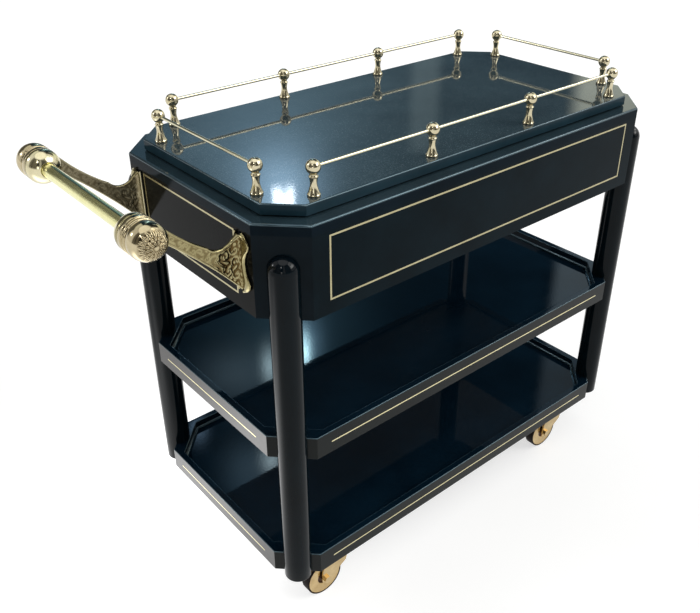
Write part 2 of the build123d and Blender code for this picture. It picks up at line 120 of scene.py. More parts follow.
def ramp(tree, source, stops):
    node = add_node(tree, "ShaderNodeValToRGB")
    elements = node.color_ramp.elements
    while len(elements) < len(stops):
        elements.new(0.5)
    for element, (place, color) in zip(elements, stops):
        element.position = place
        element.color = (*color, 1)
    tree.links.new(source, node.inputs["Fac"])
    return node.outputs["Color"]


def add_bump(tree, shader, source, strength, distance):
    bump = add_node(tree, "ShaderNodeBump")
    bump.inputs["Strength"].default_value = strength
    bump.inputs["Distance"].default_value = distance
    tree.links.new(source, bump.inputs["Height"])
    tree.links.new(bump.outputs["Normal"], shader.inputs["Normal"])


def mix_towards(tree, share, base, color):
    """Mixes a colour socket with one plain colour, by the share a value socket gives."""
    mix = add_node(tree, "ShaderNodeMix", data_type="RGBA")
    mix.inputs[MIX_SECOND].default_value = (*color, 1)
    tree.links.new(share, mix.inputs[MIX_SHARE])
    tree.links.new(base, mix.inputs[MIX_FIRST])
    return mix.outputs[MIX_RESULT]


def calculate(tree, operation, *values):
    """A Math node fed by numbers and value sockets."""
    node = add_node(tree, "ShaderNodeMath", operation=operation)
    for socket, value in zip(node.inputs, values):
        if isinstance(value, (int, float)):
            socket.default_value = value
        else:
            tree.links.new(value, socket)
    return node.outputs[0]


def lacquer(name, color, shine, rough, dust=0.0, tint=WHITE, ior=1.5):
    """Polished black lacquer with faint clouds, smudges and, on the tops, fine dust."""
    material, tree, shader = new_material(name)
    clouds = place_noise(tree, scale=9.0, detail=4.0, rough=0.6)
    deep = tuple(0.75 * c for c in color)
    pale = tuple(1.3 * c + 0.0005 for c in color)
    base = ramp(tree, clouds.outputs["Fac"], [(0.3, deep), (0.7, pale)])
    if dust > 0:
        specks = place_noise(tree, scale=430.0, detail=2.0, rough=0.5)
        amount = spread(tree, specks.outputs["Fac"], 0.0, dust, from_low=0.50, from_high=0.80)
        base = mix_towards(tree, amount, base, DUST)
    tree.links.new(base, shader.inputs["Base Color"])
    smudges = place_noise(tree, scale=22.0, detail=6.0, rough=0.65, stretch=(1, 2.2, 1))
    roughness = spread(tree, smudges.outputs["Fac"], rough * 0.6, rough * 1.6)
    tree.links.new(roughness, shader.inputs["Roughness"])
    shader.inputs["Specular IOR Level"].default_value = shine
    shader.inputs["Specular Tint"].default_value = (*tint, 1)
    shader.inputs["IOR"].default_value = ior
    peel = place_noise(tree, scale=260.0, detail=1.0, rough=0.4)
    add_bump(tree, shader, peel.outputs["Fac"], strength=0.05, distance=0.0003)
    return material


def brass(name, light, deep, rough, tarnish_and_shade=0.0, grain=(1, 1, 1)):
    """Polished brass, a little uneven in tone, darkened by a depth mark: patina in carved grounds,
    and painted shade in the brackets' flange hollows and over their inner faces.
    """
    material, tree, shader = new_material(name)
    shader.inputs["Metallic"].default_value = 1.0
    patches = place_noise(tree, scale=38.0, detail=5.0, rough=0.6)
    base = ramp(tree, patches.outputs["Fac"], [(0.32, deep), (0.68, light)])
    # The depth mark darkens the brass: patina, and painted shade where the mark carries it
    if tarnish_and_shade > 0:
        depth = add_node(tree, "ShaderNodeAttribute", attribute_name="depth")
        amount = spread(tree, depth.outputs["Fac"], 0.0, tarnish_and_shade, from_low=0.15, from_high=0.85)
        base = mix_towards(tree, amount, base, TARNISH_AND_SHADE)
    tree.links.new(base, shader.inputs["Base Color"])
    wear = place_noise(tree, scale=120.0, detail=6.0, rough=0.7, stretch=grain)
    roughness = spread(tree, wear.outputs["Fac"], rough * 0.6, rough * 1.6)
    tree.links.new(roughness, shader.inputs["Roughness"])
    add_bump(tree, shader, wear.outputs["Fac"], strength=0.05, distance=0.0003)
    return material


def rubber(name, color):
    material, tree, shader = new_material(name)
    patches = place_noise(tree, scale=60.0, detail=5.0, rough=0.6)
    deep = tuple(0.6 * c for c in color)
    light = tuple(1.5 * c for c in color)
    base = ramp(tree, patches.outputs["Fac"], [(0.3, deep), (0.7, light)])
    tree.links.new(base, shader.inputs["Base Color"])
    grain = place_noise(tree, scale=700.0, detail=4.0, rough=0.6)
    roughness = spread(tree, grain.outputs["Fac"], 0.45, 0.7)
    tree.links.new(roughness, shader.inputs["Roughness"])
    shader.inputs["Specular IOR Level"].default_value = 0.10
    add_bump(tree, shader, grain.outputs["Fac"], strength=0.3, distance=0.0003)
    return material


# Each lacquer has its colour, its shine (the shader's specular level) and its roughness. All are
# lit and shaded copies of one black lacquer: each face gets its own colour and shine as painted
# light and shade
# Painted sheen: the top's lacquer is paler and bluer than the rest
TOP_LACQUER = lacquer("lacquer_top", (0.024, 0.040, 0.047), 0.5, 0.042, dust=0.16)
STEP_LACQUER = lacquer("lacquer_step", (0.014, 0.029, 0.038), 0.5, 0.06, dust=0.05)
SLAB_SIDE_LACQUER = lacquer("lacquer_slab_side", (0.014, 0.037, 0.053), 0.24, 0.10, ior=1.2)
LEDGE_SIDE_LACQUER = lacquer("lacquer_ledge_side", (0.004, 0.011, 0.018), 0.15, 0.10, ior=1.2)
# Painted highlight: the rounded edges shine most, with a pale blue specular tint
EDGE_LACQUER = lacquer("lacquer_edge", (0.014, 0.030, 0.042), 1.0, 0.16, tint=(0.62, 0.88, 1.0))
TRAY_LACQUER = lacquer("lacquer_tray", (0.0015, 0.0085, 0.017), 0.5, 0.035, dust=0.012)
RAIL_LACQUER = lacquer("lacquer_rail", (0.006, 0.009, 0.009), 0.14, 0.14)
# Painted light: the end rails are browner and shinier than the side rails
END_RAIL_LACQUER = lacquer("lacquer_end_rail", (0.015, 0.010, 0.009), 0.50, 0.14)
APRON_LACQUER = lacquer("lacquer_apron", (0.003, 0.010, 0.015), 0.20, 0.09, ior=1.2)
PANEL_LACQUER = lacquer("lacquer_panel", (0.006, 0.007, 0.007), 0.035, 0.09)
CORNER_LACQUER = lacquer("lacquer_corner", (0.006, 0.013, 0.019), 0.05, 0.09)
LEG_LACQUER = lacquer("lacquer_leg", (0.002, 0.006, 0.009), 0.11, 0.09)
DOME_LACQUER = lacquer("lacquer_dome", (0.002, 0.005, 0.008), 0.21, 0.05)
GAP_LACQUER = lacquer("lacquer_gap", (0.004, 0.010, 0.015), 0.12, 0.35)
# Each brass has its light tone, its deep tone and its roughness
POLISHED = brass("brass_polished", (0.67, 0.61, 0.43), (0.53, 0.47, 0.31), 0.11)
ROD_BRASS = brass("brass_rod", (0.74, 0.71, 0.53), (0.64, 0.60, 0.42), 0.10)
CUP_BRASS = brass("brass_cup", (0.74, 0.68, 0.46), (0.62, 0.56, 0.35), 0.14)
BAR_BRASS = brass("brass_bar", (0.90, 0.88, 0.50), (0.80, 0.77, 0.38), 0.17, grain=(1, 0.05, 1))
CARVED = brass("brass_carved", (0.56, 0.48, 0.31), (0.44, 0.37, 0.22), 0.11, tarnish_and_shade=0.9)
ENGRAVED = brass("brass_engraved", (0.40, 0.35, 0.19), (0.30, 0.26, 0.13), 0.15, tarnish_and_shade=1.0)
INNER_BRASS = brass(
    "brass_engraved_inside", (0.60, 0.55, 0.37), (0.44, 0.39, 0.25), 0.36, tarnish_and_shade=0.85
)
LINE_BRASS = brass("brass_line", (0.55, 0.50, 0.31), (0.44, 0.39, 0.23), 0.28)
TRAY_LINE_BRASS = brass("brass_tray_line", (0.95, 0.87, 0.55), (0.82, 0.74, 0.43), 0.28)
FORK_BRASS = brass("brass_fork", (0.60, 0.46, 0.25), (0.45, 0.33, 0.16), 0.13)
CASTER_BRASS = brass("brass_caster", (0.60, 0.45, 0.23), (0.44, 0.31, 0.14), 0.13)
# Painted shade: near-black brass for the hollow round the wheel hubs
HUB_SHADE = brass("brass_hub_painted_shade", (0.10, 0.045, 0.02), (0.04, 0.018, 0.008), 0.30)
TYRE = rubber("tyre_rubber", (0.014, 0.009, 0.008))


# -------- mesh helpers
def add_to_scene(name, mesh, body, node_names):
    shape = bpy.data.objects.new(name, mesh)
    bpy.context.scene.collection.objects.link(shape)
    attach(shape, body)
    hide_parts(*node_names)
    return shape


def weigh_normals(shape):
    modifier = shape.modifiers.new("normals", "WEIGHTED_NORMAL")
    modifier.keep_sharp = True
    modifier.weight = 80
    return shape


class Builder:
    """Gathers the points of one piece, in metres, their depth marks for patina and painted shade on
    the brass, and its faces.
    """

    def __init__(self):
        self.verts = []
        self.faces = []
        self.depth = []

    def add(self, verts, faces, depth=None):
        start = len(self.verts)
        self.verts.extend(verts)
        self.faces.extend([tuple(start + i for i in face) for face in faces])
        self.depth.extend(depth if depth is not None else [0.0] * len(verts))

    def lathe(self, profile, matrix, steps, wobble=None):
        """
        Turns a profile of (radius, height) in mm about the local z axis. Wobble, where given,
        moves each point and says how deep it lies.
        """
        verts = []
        depth = []
        rings = []
        for index, (radius, height) in enumerate(profile):
            if radius < 1e-6:
                rings.append([len(verts)])
                verts.append(matrix @ (Vector((0, 0, height)) * MM))
                depth.append(0.0)
                continue
            ring = []
            for step in range(steps):
                turn = 2 * math.pi * step / steps
                r, h, d = radius, height, 0.0
                if wobble is not None:
                    r, h, d = wobble(index, turn, radius, height)
                ring.append(len(verts))
                verts.append(matrix @ (Vector((r * math.cos(turn), r * math.sin(turn), h)) * MM))
                depth.append(d)
            rings.append(ring)
        faces = []
        for lower, upper in zip(rings[:-1], rings[1:]):
            for step in range(steps):
                after = (step + 1) % steps
                if len(lower) == 1:
                    faces.append((lower[0], upper[after], upper[step]))
                elif len(upper) == 1:
                    faces.append((lower[step], lower[after], upper[0]))
                else:
                    faces.append((lower[step], lower[after], upper[after], upper[step]))
        self.add(verts, faces, depth)

    def loops(self, rings):
        """Joins closed rings of equal length, in metres, and caps both ends."""
        count = len(rings[0])
        verts = [point for ring in rings for point in ring]
        faces = []
        for index in range(len(rings) - 1):
            base = index * count
            for step in range(count):
                after = (step + 1) % count
                faces.append((base + step, base + after, base + count + after, base + count + step))
        faces.append(tuple(range(count - 1, -1, -1)))
        base = (len(rings) - 1) * count
        faces.append(tuple(range(base, base + count)))
        self.add(verts, faces)

    def tube(self, path, radius, steps):
        """A round bead along a path in mm."""
        points = [Vector(p) for p in path]
        rings = []
        count = len(points)
        up = Vector((1, 0, 0))
        for index, point in enumerate(points):
            before = points[index - 1] if index > 0 else point
            after = points[index + 1] if index < count - 1 else point
            along = (after - before).normalized()
            side = along.cross(up).normalized()
            ring = []
            for step in range(steps):
                turn = 2 * math.pi * step / steps
                out = side * radius * math.cos(turn)
                ring.append((point + out + up * radius * math.sin(turn)) * MM)
            rings.append(ring)
        self.loops(rings)

    def make(self, name, material, body, node_names, angle, with_depth=False, zones=None):
        """
        Makes one smooth piece with its edges sharp above an angle. Zones are more materials, and a
        function that gives a polygon the number of its material.
        """
        mesh = bpy.data.meshes.new(name)
        mesh.from_pydata([tuple(v) for v in self.verts], [], self.faces)
        mesh.validate()
        build = bmesh.new()
        build.from_mesh(mesh)
        bmesh.ops.recalc_face_normals(build, faces=build.faces)
        build.to_mesh(mesh)
        build.free()
        mesh.shade_smooth()
        mesh.set_sharp_from_angle(angle=math.radians(angle))
        mesh.materials.append(material)
        if zones is not None:
            extras, zone = zones
            for extra in extras:
                mesh.materials.append(extra)
            for polygon in mesh.polygons:
                polygon.material_index = zone(polygon)
        if with_depth:
            layer = mesh.attributes.new("depth", "FLOAT", "POINT")
            layer.data.foreach_set("value", np.asarray(self.depth, dtype=np.float32))
        return add_to_scene(name, mesh, body, node_names)


def arc(centre, radius, start, end, count):
    """Points on a circle arc, angles in degrees."""
    points = []
    for index in range(count + 1):
        turn = math.radians(start + (end - start) * index / count)
        points.append((centre[0] + radius * math.cos(turn), centre[1] + radius * math.sin(turn)))
    return points


def octagon(half_x, half_y, cut, z):
    """An eight-sided outline round the middle of the case, in mm, as points in metres."""
    outline = [
        (-half_x, -half_y + cut), (-half_x + cut, -half_y),
        (half_x - cut, -half_y), (half_x, -half_y + cut),
        (half_x, half_y - cut), (half_x - cut, half_y),
        (-half_x + cut, half_y), (-half_x, half_y - cut),
    ]
    return [Vector((case_x + x * MM, y * MM, z * MM)) for x, y in outline]


def paint(names, material):
    """Gives CAD pieces that are kept as they are a material."""
    for name in names:
        mesh = nodes[name].data
        mesh.materials.clear()
        mesh.materials.append(material)


# -------- case
# Length that a cut-off corner takes from each side of the ledge, in mm
CORNER_CUT = 60.8
# How much less it takes from an outline that lies 1 mm further in
SLANT = 2 - math.sqrt(2)
# Upward parts of a normal: above the first a face is a flat top, below the second it is upright
FLAT = 0.999
UPRIGHT = 0.05


def moulded_board(name, node, cut, round_top, material, side_material):
    low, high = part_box(node)
    half_x, half_y = (high.x - low.x) / 2 / MM, (high.y - low.y) / 2 / MM
    bottom, top = low.z / MM, high.z / MM
    rings = [octagon(half_x, half_y, cut, bottom)]
    for x, z in arc((round_top, top - round_top), round_top, 180, 90, 7):
        rings.append(octagon(half_x - x, half_y - x, cut - x * SLANT, z))
    build = Builder()
    build.loops(rings)

    # The top, the rounded edge and the sides get lit and shaded copies of the black lacquer, as
    # painted light and shade
    def zone(polygon):
        if polygon.normal.z > FLAT or polygon.normal.z < -0.5:
            return 0
        return 2 if polygon.normal.z < UPRIGHT else 1

    zones = ([EDGE_LACQUER, side_material], zone)
    weigh_normals(build.make(name, material, "carcass", [node], 40, zones=zones))


slab_inset = (ledge_high.x - ledge_low.x) / 2 / MM - (slab_high.x - slab_low.x) / 2 / MM
slab_cut = CORNER_CUT - slab_inset * SLANT
moulded_board("slab_top", "top_slab", slab_cut, 2.0, TOP_LACQUER, SLAB_SIDE_LACQUER)
moulded_board(
    "ledge_moulding", "ledge_board", CORNER_CUT, 3.0, STEP_LACQUER, LEDGE_SIDE_LACQUER
)
paint(["shadow_step"], GAP_LACQUER)
# Aprons, end panels and corner blocks get their own copies of the black lacquer, as painted light
# and shade on each facing
paint(["front_apron", "back_apron"], APRON_LACQUER)
paint(["left_end_panel", "right_end_panel"], PANEL_LACQUER)
paint(["corner_block_" + name for name in CORNERS], CORNER_LACQUER)
paint(["case_floor"], GAP_LACQUER)
paint(["apron_inlays"], LINE_BRASS)
paint(["tray_inlays"], TRAY_LINE_BRASS)


# -------- trays
TRAY_PARTS = ("front_rail", "back_rail", "left_rail", "right_rail", "corners", "floor")
# How far the trays lie inside the outline of the ledge, in mm
TRAY_INSET = 3.7
# Length that a cut-off corner takes from each side of a tray's floor
WELL_CUT = 67.0
# Thickness left off the outer faces of the rails, so that the brass lines in them stay in sight
BARED = 0.12
# Share of a tray's half size beyond which a face is on its outer side
OUTER = 0.993


def tray(name):
    parts = [name + "_" + part for part in TRAY_PARTS]
    left_low, left_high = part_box(name + "_left_rail")
    front_low, front_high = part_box(name + "_front_rail")
    low, top = left_low.z / MM, left_high.z / MM
    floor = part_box(name + "_floor")[1].z / MM
    half_x = (case_x - left_low.x) / MM - BARED
    half_y = -front_low.y / MM - BARED
    inner_x = (case_x - left_high.x) / MM
    inner_y = -front_high.y / MM
    cut = CORNER_CUT - TRAY_INSET * SLANT
    edge = 1.3
    cove = 4.0
    rings = []
    for x, z in arc((edge, low + edge), edge, 270, 180, 4):
        rings.append(octagon(half_x - x, half_y - x, cut - x * SLANT, z))
    for x, z in arc((edge, top - edge), edge, 180, 90, 5):
        rings.append(octagon(half_x - x, half_y - x, cut - x * SLANT, z))
    for x, z in arc((edge, top - edge), edge, 90, 180, 5):
        rings.append(octagon(inner_x + x, inner_y + x, WELL_CUT + x * SLANT, z))
    for x, z in arc((cove, floor + cove), cove, 180, 270, 6):
        rings.append(octagon(inner_x - x, inner_y - x, WELL_CUT - x * SLANT, z))
    build = Builder()
    build.loops(rings)

    # Floor, sloped edges, side rails and end rails get lit and shaded copies of the black lacquer;
    # the end rails are painted lighter and browner
    def zone(polygon):
        place = polygon.center
        across = abs(place.x - case_x) / (half_x * MM)
        along = abs(place.y) / (half_y * MM)
        corner = (abs(place.x - case_x) + abs(place.y)) / ((half_x + half_y - cut) * MM)
        if max(across, along, corner) > OUTER and polygon.normal.z < UPRIGHT:
            return 3 if abs(polygon.normal.x) > 0.9 else 2
        if 0.02 < polygon.normal.z < FLAT:
            return 1
        return 0

    zones = ([EDGE_LACQUER, RAIL_LACQUER, END_RAIL_LACQUER], zone)
    shape = build.make(name, TRAY_LACQUER, "carcass", parts, 40, zones=zones)
    weigh_normals(shape)


tray("middle_tray")
tray("bottom_tray")


# -------- legs
# Rounding at the foot of a leg, in mm
FOOT_ROUND = 3


def leg(name):
    node = "leg_" + name
    low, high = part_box(node)
    middle = (low + high) / 2
    radius = (high.x - low.x) / 2 / MM
    bottom, top = low.z / MM, high.z / MM
    profile = [(0, bottom), (radius - FOOT_ROUND, bottom)]
    profile += arc((radius - FOOT_ROUND, bottom + FOOT_ROUND), FOOT_ROUND, 270, 360, 5)[1:]
    profile += [(radius, bottom + 40), (radius, top - radius - 30)]
    profile += arc((0, top - radius), radius, 0, 90, 24)
    profile[-1] = (0, top)
    build = Builder()
    build.lathe(profile, Matrix.Translation((middle.x, middle.y, 0)), 96)
    # The leg tops get a shinier copy of the leg lacquer, a painted highlight
    zones = ([DOME_LACQUER], lambda polygon: 1 if polygon.normal.z > 0.3 else 0)
    build.make("round_" + node, LEG_LACQUER, "carcass", [node], 50, zones=zones)


for corner in CORNERS:
    leg(corner)


# -------- gallery
# Posts along the long sides and along the ends, in mm from the middle of the slab
LONG_X = (-351.0, -117.0, 117.0, 351.0)
LONG_Y = 195.0
END_X = 409.0
END_Y = 137.3
POST_PLACES = [(x, y) for y in (-LONG_Y, LONG_Y) for x in LONG_X]
POST_PLACES += [(x, y) for x in (-END_X, END_X) for y in (-END_Y, END_Y)]
# Radius of the balls and of the rods, and the heights of their middles above the slab
BALL = 11.1
BALL_Z = 43.65
ROD = 2.7
ROD_Z = 43.9


def post_profile():
    profile = [(0, 0), (9.2, 0)]
    profile += arc((9.0, 0.7), 0.7, 270, 360, 3)
    profile += arc((8.9, 2.4), 0.9, 0, 55, 3)
    profile += [(8.9, 4.2), (8.2, 5.8), (7.5, 7.9), (6.75, 10.4), (6.0, 13.2), (5.45, 16.0)]
    profile += [(5.2, 18.6), (5.3, 21.2), (5.6, 23.6), (6.0, 25.8), (6.35, 27.4)]
    profile += arc((5.6, 29.5), 1.5, -50, 75, 7)
    profile += [(5.7, 31.4), (5.45, 32.0), (5.5, 32.9)]
    start = -math.degrees(math.acos(6.0 / BALL))
    profile += arc((0, BALL_Z), BALL, start, 90, 26)
    profile[-1] = (0, BALL_Z + BALL)
    return profile


def rod_spans():
    """Both ends of every rod, in mm from the middle of the slab."""
    spans = []
    for y in (-LONG_Y, LONG_Y):
        for start, end in zip(LONG_X[:-1], LONG_X[1:]):
            spans.append(((start, y), (end, y)))
    for x in (-END_X, END_X):
        spans.append(((x, -END_Y), (x, END_Y)))
    return spans


def gallery():
    posts = Builder()
    outline = post_profile()
    for x, y in POST_PLACES:
        posts.lathe(outline, Matrix.Translation((case_x + x * MM, y * MM, top_z)), 40)
    posts.make("turned_posts", POLISHED, "carcass", ["gallery_posts"], 40)
    rods = Builder()
    for start, end in rod_spans():
        first = Vector((case_x + start[0] * MM, start[1] * MM, top_z + ROD_Z * MM))
        last = Vector((case_x + end[0] * MM, end[1] * MM, top_z + ROD_Z * MM))
        along = last - first
        length = along.length / MM
        turn = Vector((0, 0, 1)).rotation_difference(along.normalized()).to_matrix().to_4x4()
        inset = BALL - 1.2
        profile = [(0, inset), (ROD, inset), (ROD, length / 2)]
        profile += [(ROD, length - inset), (0, length - inset)]
        rods.lathe(profile, Matrix.Translation(first) @ turn, 28)
    rods.make("round_rods", ROD_BRASS, "carcass", ["gallery_rods"], 40)


gallery()


# -------- push handle
# Radius of the cups and finials, in mm
KNOB = 27.0
# Distances from the middle of the bar, along it: both faces of each arm, and where the balls of
# the cup and of the finial have their middles
ARM_IN = 145.0
ARM_OUT = 151.0
CUP_BALL = 149.0
DOME_BALL = 178.0
# Radius at which the cup starts, on the inner side
CUP_START = 13.0


def lying(side):
    """Local z points from the middle of the cart outwards along the bar."""
    turn = Matrix.Rotation(math.radians(-90 * side), 4, "X")
    return Matrix.Translation(bar_axis) @ turn


def cup_profile():
    beyond = CUP_BALL - ARM_IN
    ball = math.hypot(KNOB, beyond)
    start = CUP_BALL - math.sqrt(ball ** 2 - CUP_START ** 2)
    profile = [(11.02, start + 1.2), (11.6, start + 0.2), (12.4, start)]
    first = math.degrees(math.atan2(start - CUP_BALL, CUP_START))
    last = math.degrees(math.atan2(-beyond, KNOB))
    profile += arc((0, CUP_BALL), ball, first + 1.5, last, 22)
    profile += [(KNOB, ARM_IN)]
    return profile


def leaf(u, v, fullness):
    """Height of a pointed leaf at u across it, from -1 to 1, and v along it, from 0 at its tip."""
    edge = fullness * math.sin(0.5 * math.pi * min(max(v, 0.0), 1.0)) ** 0.7
    inside = min(max((edge - abs(u)) / 0.22, 0.0), 1.0)
    crease = 1 - 0.75 * math.exp(-(u / 0.13) ** 2)
    lobes = 0.82 + 0.18 * math.cos(5 * math.pi * v - 2.0 * abs(u) * math.pi)
    return inside * crease * lobes


# Angle from the tip of the dome at which the carving ends
ROSETTE_END = 59.0
# Rings of leaves: their number, the angles of tip and root, and the turn as a share of a leaf
LEAF_RINGS = [
    (18, 55.0, 38.0, 0.0), (18, 46.0, 33.0, 0.5), (14, 35.0, 22.0, 0.25), (9, 24.0, 11.0, 0.0),
]
LEAF_WIDTH = 0.92
CARVED_STEPS = 252


def rosette(turn, polar):
    """Carved height on the dome, from 0 in the ground to 1 on top, polar angle in degrees."""
    height = 0.0
    for count, tip, root, shift in LEAF_RINGS:
        u = 2 * ((turn / (2 * math.pi) * count + shift) % 1.0) - 1
        v = (tip - polar) / (tip - root)
        if 0 < v < 1.1:
            height = max(height, leaf(u, v, LEAF_WIDTH) * (1.0 if v < 1 else (1.1 - v) * 10))
    if polar < 10:
        height = max(height, math.cos(math.radians(polar * 8)))
    return height


def finial_profile():
    """The finial's outline, and the number of its first point on the dome."""
    profile = [(0, ARM_OUT), (26.4, ARM_OUT)]
    profile += arc((26.3, ARM_OUT + 0.7), 0.7, 270, 360, 3)
    profile += arc((26.0, 158.0), 1.0, 0, 90, 4)
    profile += [(25.2, 159.2), (24.9, 159.9), (24.8, 161.6), (25.0, 162.6), (25.4, 163.2)]
    profile += arc((24.7, 166.0), 2.3, -70, 70, 9)
    profile += [(25.3, 168.9), (25.2, 169.4)]
    domed = arc((0, DOME_BALL), KNOB, math.degrees(math.asin(-8.4 / KNOB)), 88.5, 90)
    return profile + domed + [(0, DOME_BALL + KNOB)], len(profile)


def finial(name, side):
    profile, first = finial_profile()

    def carve(index, turn, radius, height):
        if index < first:
            return radius, height, 0.0
        polar = math.degrees(math.atan2(radius, height - DOME_BALL))
        if polar > ROSETTE_END:
            return radius, height, 0.0
        rise = rosette(turn, polar)
        ground = min(1.0, (ROSETTE_END - polar) / 16)
        sink = 1.05 * (1 - rise) * ground
        scale = (KNOB - sink) / KNOB
        return radius * scale, DOME_BALL + (height - DOME_BALL) * scale, (1 - rise) * ground

    build = Builder()
    build.lathe(profile, lying(side), CARVED_STEPS, carve)
    build.make("finial_" + name, CARVED, "carcass", ["handle_finial_" + name], 60, True)


for side_name, side_sign in SIDES.items():
    finial(side_name, side_sign)
    cup = Builder()
    cup.lathe(cup_profile(), lying(side_sign), 96)
    cup.make("cup_" + side_name, CUP_BRASS, "carcass", ["handle_cup_" + side_name], 40)

# Half the length of the drawn bar, which ends inside the arms, and its radius
BAR_HALF = 150.9
BAR = 11
bar = Builder()
bar_outline = [(0, -BAR_HALF), (BAR, -BAR_HALF), (BAR, -60)]
bar_outline += [(radius, -along) for radius, along in reversed(bar_outline)]
bar.lathe(bar_outline, lying(1), 72)
bar.make("push_bar", BAR_BRASS, "carcass", ["handle_bar"], 40)


# -------- handle brackets
# In mm: x runs along the cart, 0 at the end panel and below 0 outwards. z is 0 at the ledge's top
def circle_through(a, b, c):
    """Middle and radius of the circle through three points."""
    ax, az = a
    bx, bz = b
    cx, cz = c
    d = 2 * (ax * (bz - cz) + bx * (cz - az) + cx * (az - bz))
    a_square, b_square, c_square = ax ** 2 + az ** 2, bx ** 2 + bz ** 2, cx ** 2 + cz ** 2
    ux = (a_square * (bz - cz) + b_square * (cz - az) + c_square * (az - bz)) / d
    uz = (a_square * (cx - bx) + b_square * (ax - cx) + c_square * (bx - ax)) / d
    return (ux, uz), math.hypot(ax - ux, az - uz)


def arc_height(a, b, c, x):
    """Height at x on the arc through three points."""
    (ux, uz), radius = circle_through(a, b, c)
    offset = math.sqrt(max(radius ** 2 - (x - ux) ** 2, 0))
    return uz + offset if b[1] > uz else uz - offset


# Middle of the round eye that holds the bar, and the circle on it where the arm starts
EYE_X = -153.4
EYE_Z = 24.5
ARM_START = 26.5
UPPER = (
    EYE_X + ARM_START * math.cos(math.radians(23)), EYE_Z + ARM_START * math.sin(math.radians(23))
)
LOWER = (
    EYE_X + ARM_START * math.cos(math.radians(35)), EYE_Z - ARM_START * math.sin(math.radians(35))
)
# Points that the arm's upper line runs through, from the eye to the flange's top
BROW = (-90.0, -4.0)
NECK = (-54.0, -30.0)
DIP = (-34.0, -40.0)
FLANGE_START = (-13.0, -31.0)
FLANGE_TOP = -22.0
# Points that the arm's lower line runs through, from the panel to the eye
FOOT = (0.0, -119.0)
HOLLOW = (-56.0, -58.0)


def arm_top(x):
    if x < UPPER[0]:
        return UPPER[1]
    if x < NECK[0]:
        return arc_height(UPPER, BROW, NECK, x)
    start_x, start_z = FLANGE_START
    if x < start_x:
        return arc_height(NECK, DIP, FLANGE_START, x)
    return start_z + (x - start_x) * (FLANGE_TOP - start_z) / -start_x


def arm_low(x):
    if x < LOWER[0]:
        return LOWER[1]
    return arc_height(FOOT, HOLLOW, LOWER, x)


# The scalloped edge of the flange: height, and how far it stands out from the arm's inner face
FLANGE_EDGE = [
    (-22, 12.0), (-25, 18.5), (-29, 22.5), (-34, 26.2), (-39, 27.8), (-44, 26.0), (-50, 21.5),
    (-60, 17.0), (-69.5, 15.0), (-79, 16.2), (-88, 19.2), (-95, 24.0), (-101, 26.6), (-107, 25.0),
    (-113, 19.5), (-119, 8.0),
]


def flange_edge(z):
    """How far the flange stands out sideways from the inner face at a height."""
    heights, widths = zip(*reversed(FLANGE_EDGE))
    return float(np.interp(z, heights, widths))


# x at which the arm starts to sweep out sideways into the flange, and where the sweep ends
SWEEP = -29.0
SWEEP_END = -4.4
# Length that the carved pattern takes over the sweep
SWEEP_PATTERN = 36.0
# Each scroll has its middle, its radius and its sense of turning
SCROLLS = []
FLANGE_SCROLLS = [
    (-29.0, -54.0, 12.5, 1), (-24.0, -78.0, 9.5, -1), (-12.0, -46.0, 9.5, -1),
    (-9.0, -65.0, 10.0, 1), (-10.0, -86.0, 8.5, -1), (3.0, -40.0, 7.5, 1), (4.5, -56.0, 7.5, -1),
    (4.0, -76.0, 7.5, 1), (1.0, -97.0, 7.0, -1),
]


def plan_scrolls():
    """Leafy scrolls along the arm, then a denser group in the hollow of the flange."""
    x = -126.0
    turn = 1
    while x < SWEEP - 12:
        middle = (arm_top(x) + arm_low(x)) / 2
        half = (arm_top(x) - arm_low(x)) / 2
        slope = (arm_top(x + 2) + arm_low(x + 2) - arm_top(x - 2) - arm_low(x - 2)) / 8
        radius = min(half * math.cos(math.atan(slope)) * 0.74, 14.0)
        SCROLLS.append((x, middle + 0.10 * half * turn, radius, turn))
        x += radius * 1.55
        turn = -turn
    SCROLLS.extend(FLANGE_SCROLLS)


plan_scrolls()


def scrollwork(x, z):
    """Carved height of leafy scrolls at arrays of points on the arm, from 0 to 1."""
    height = np.zeros_like(x)
    for cx, cz, radius, turn in SCROLLS:
        dx = x - cx
        dz = z - cz
        r = np.hypot(dx, dz) / radius
        angle = np.arctan2(dz, dx) * turn
        coil = (angle / (2 * np.pi) - 0.95 * r ** 0.7) % 1.0
        ridge = np.exp(-((coil - 0.5) / 0.19) ** 2)
        lobes = 0.8 + 0.2 * np.cos(6 * angle + 4 * r)
        inside = np.clip((1.10 - r) / 0.12, 0, 1)
        eye = np.exp(-(r / 0.2) ** 2)
        height = np.maximum(height, inside * np.maximum(ridge * (0.4 + 0.6 * lobes), eye))
    sprigs = np.sin(x * 0.30 + 1.6 * np.sin(z * 0.20)) * np.sin(z * 0.34 + 1.4 * np.sin(x * 0.18))
    leaves = np.clip((np.abs(sprigs) - 0.3) / 0.45, 0, 1) * 0.8
    return np.maximum(height, leaves * (height < 0.15))


# Faces down each column of a bracket's casting, along its arm and round its rim
ROWS = 90
COLUMNS = 170
RIM_COLUMNS = 14


def stations_along():
    """
    Stations from the eye to the rim of the flange: place in the carved pattern, x, share of the
    sweep's reach, share of the rim and the angle of the sweep.
    """
    stations = []
    first_x = EYE_X + 16
    quarter = 0.5 * math.pi
    for i in range(COLUMNS):
        x = first_x + (SWEEP - first_x) * i / COLUMNS
        stations.append((x, x, 0.0, 0.0, 0.0))
    for i in range(COLUMNS // 3 + 1):
        theta = quarter * i / (COLUMNS // 3)
        x = SWEEP + (SWEEP_END - SWEEP) * math.sin(theta)
        pattern = SWEEP + SWEEP_PATTERN * theta / quarter
        stations.append((pattern, x, 1 - math.cos(theta), 0.0, theta))
    for i in range(1, RIM_COLUMNS + 1):
        share = i / RIM_COLUMNS
        stations.append((9.0, -4.3 - 1.1 * math.sin(math.pi * share), 1.0, share, quarter))
    return stations


